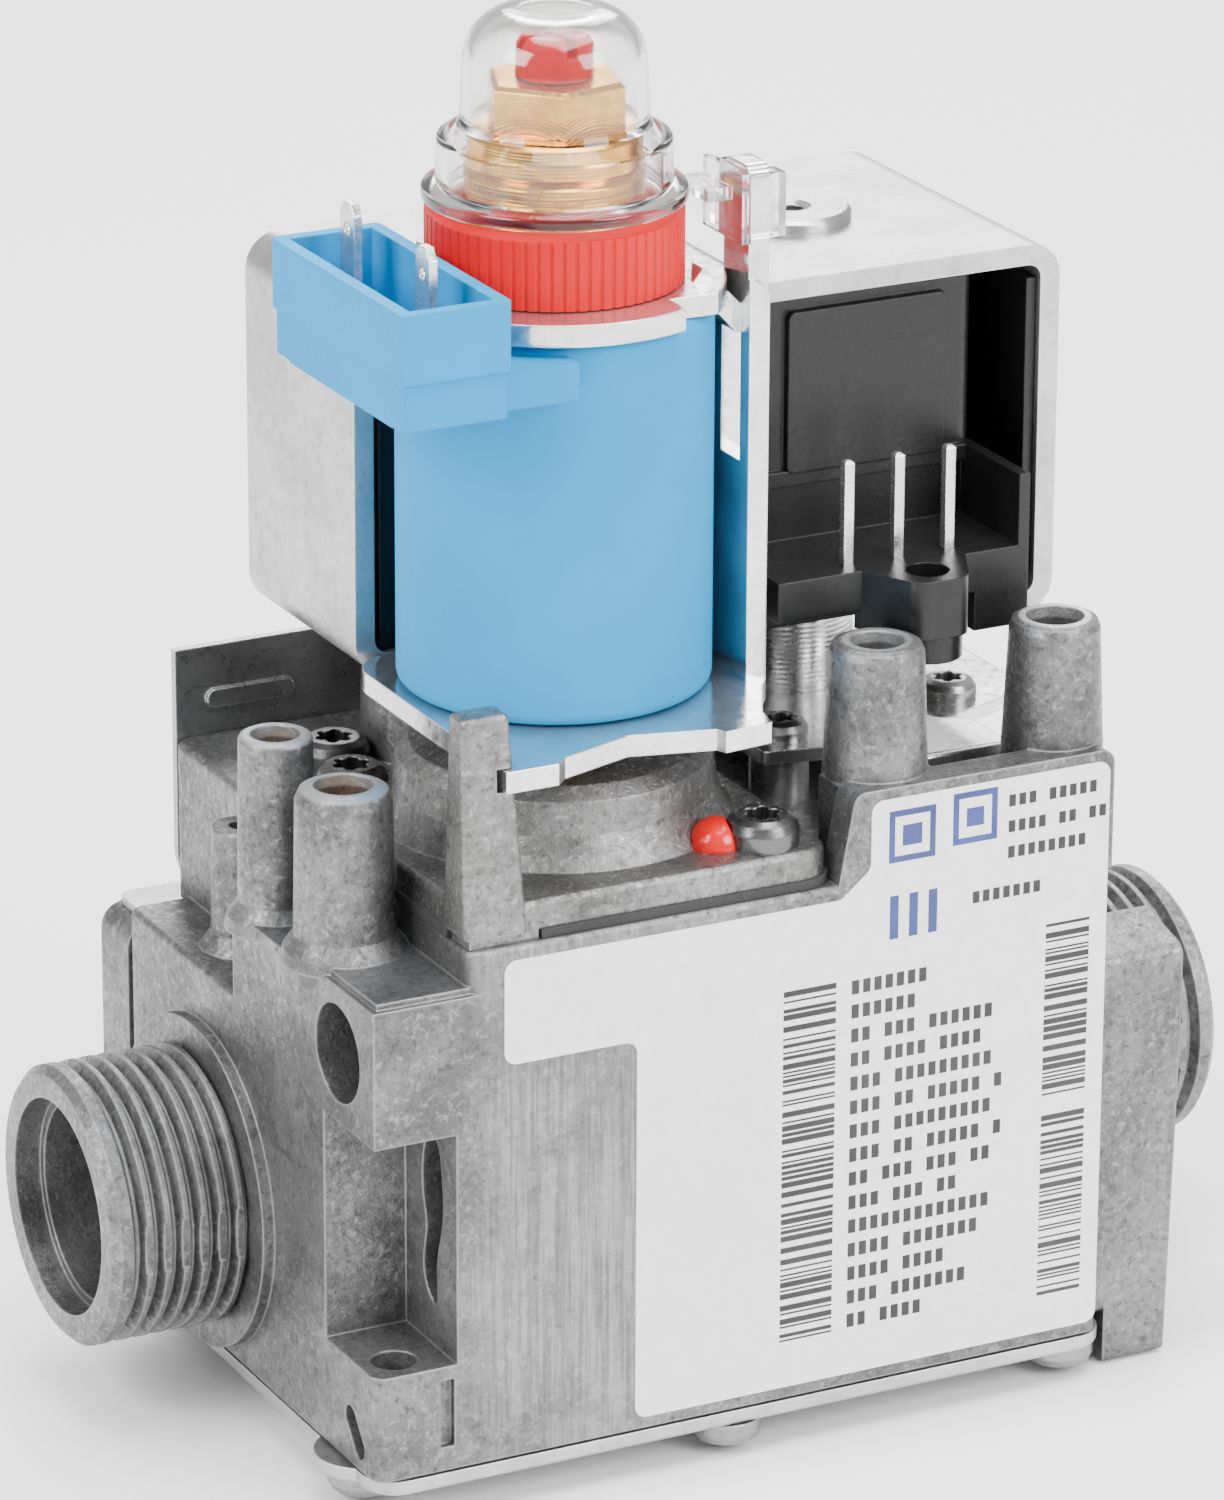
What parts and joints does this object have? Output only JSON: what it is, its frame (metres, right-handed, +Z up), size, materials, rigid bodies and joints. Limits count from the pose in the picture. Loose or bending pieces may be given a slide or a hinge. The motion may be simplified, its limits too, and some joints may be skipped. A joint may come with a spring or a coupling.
{
  "type": "gas valve",
  "caption": "Modulating gas control valve with solenoid shut-offs, a modulating coil on a regulator, threaded pipe stubs and pressure taps.",
  "frame": {"origin": "centre of the inlet stub's end face, on the flow axis", "axes": "+X along the flow, inlet to outlet; +Z up along the coils; +Y to the rear, away from the label"},
  "size_m": [0.1168, 0.0637, 0.1334],
  "materials": {
    "casting": "mottled die-cast zinc, linished front",
    "cover_casting": "satin die-cast",
    "plated_steel": "satin zinc plate",
    "plated_screws": "bright zinc plate",
    "dark_screws": "black oxide",
    "turned_steel": "turned",
    "brass": "turned",
    "tinned": "tinned",
    "blue_plastic": "semi-gloss",
    "black_plastic": "fine grain",
    "clear_plastic": "clear moulding",
    "red_plastic": "semi-gloss",
    "rubber": "matt",
    "copper": "enamelled wire",
    "spring_steel": "drawn wire",
    "poppet": "turned",
    "strainer": "perforated",
    "lacquer": "glossy blob",
    "label": "printed film"
  },
  "bodies": {
    "valve": {"valve_body": "casting", "regulator_cover": "cover_casting", "rear_cover": "cover_casting", "bottom_cover": "plated_steel", "heat_shield": "plated_steel", "modulator_bracket": "plated_steel", "solenoid_frame": "plated_steel", "core_clamp_plate": "plated_steel", "bottom_cover_screws": "plated_screws", "regulator_cover_screws": "plated_screws", "core_clamp_screws": "plated_screws", "rear_cover_screws": "plated_screws", "tower_screws": "dark_screws", "main_core_tube": "turned_steel", "servo_core_tube": "turned_steel", "main_core_screw": "turned_steel", "core_tube": "brass", "connector_pins": "tinned", "modulator_terminals": "tinned", "modulator_coil": "blue_plastic", "solenoid_moulding": "black_plastic", "bottom_gasket": "rubber", "regulator_diaphragm": "rubber", "modulator_winding": "copper", "main_winding": "copper", "servo_winding": "copper", "regulator_spring": "spring_steel", "modulator_spring": "spring_steel", "main_spring": "spring_steel", "servo_spring": "spring_steel", "inlet_strainer": "strainer", "seal_lacquer": "lacquer", "rating_label": "label"},
    "clear_cap": {"clear_cap": "clear_plastic"},
    "lock_ring": {"lock_ring": "red_plastic"},
    "max_adjuster": {"max_adjuster": "brass"},
    "min_adjuster": {"min_adjuster": "red_plastic"},
    "armature": {"modulator_armature": "turned_steel"},
    "poppet": {"regulator_poppet": "poppet", "regulator_seal": "rubber"},
    "main_valve": {"main_plunger": "turned_steel", "main_valve_disc": "rubber"},
    "servo_valve": {"servo_plunger": "turned_steel", "servo_valve_disc": "rubber"},
    "inlet_test_screw": {"inlet_test_screw": "brass"},
    "outlet_test_screw": {"outlet_test_screw": "brass"}
  },
  "joints": [
    {"name": "cap_lift", "type": "slide", "parent": "valve", "child": "clear_cap", "axis": [0, 0, 1], "range_m": [0, 0.03]},
    {"name": "lock_ring_turn", "type": "hinge", "parent": "valve", "child": "lock_ring", "pos_m": [0.0428, -0.0165, 0.0918], "axis": [0, 0, 1], "continuous": true},
    {"name": "max_adjuster_turn", "type": "hinge", "parent": "valve", "child": "max_adjuster", "pos_m": [0.0428, -0.0165, 0.104], "axis": [0, 0, 1], "continuous": true},
    {"name": "min_adjuster_turn", "type": "hinge", "parent": "max_adjuster", "child": "min_adjuster", "pos_m": [0.0428, -0.0165, 0.108], "axis": [0, 0, 1], "continuous": true},
    {"name": "armature_slide", "type": "slide", "parent": "valve", "child": "armature", "axis": [0, 0, 1], "range_m": [0, 0.0017], "stiffness_N_per_m": 60, "springref_m": -0.004, "deforming": ["modulator_spring"]},
    {"name": "regulator_slide", "type": "slide", "parent": "valve", "child": "poppet", "axis": [0, 0, 1], "range_m": [0, 0.0017], "deforming": ["regulator_spring"]},
    {"name": "main_valve_slide", "type": "slide", "parent": "valve", "child": "main_valve", "axis": [0, 0, 1], "range_m": [0, 0.0024], "stiffness_N_per_m": 120, "springref_m": -0.006, "deforming": ["main_spring"]},
    {"name": "servo_valve_slide", "type": "slide", "parent": "valve", "child": "servo_valve", "axis": [0, 0, 1], "range_m": [0, 0.0018], "stiffness_N_per_m": 80, "springref_m": -0.006, "deforming": ["servo_spring"]},
    {"name": "inlet_test_screw_turn", "type": "hinge", "parent": "valve", "child": "inlet_test_screw", "pos_m": [0.0185, -0.009, 0.042], "axis": [0, 0, 1], "range_deg": [0, 720]},
    {"name": "outlet_test_screw_turn", "type": "hinge", "parent": "valve", "child": "outlet_test_screw", "pos_m": [0.0189, -0.0226, 0.042], "axis": [0, 0, 1], "range_deg": [0, 720]}
  ],
  "couplings": [
    {"joint": "regulator_slide", "follows": "armature_slide", "ratio": 1}
  ]
}
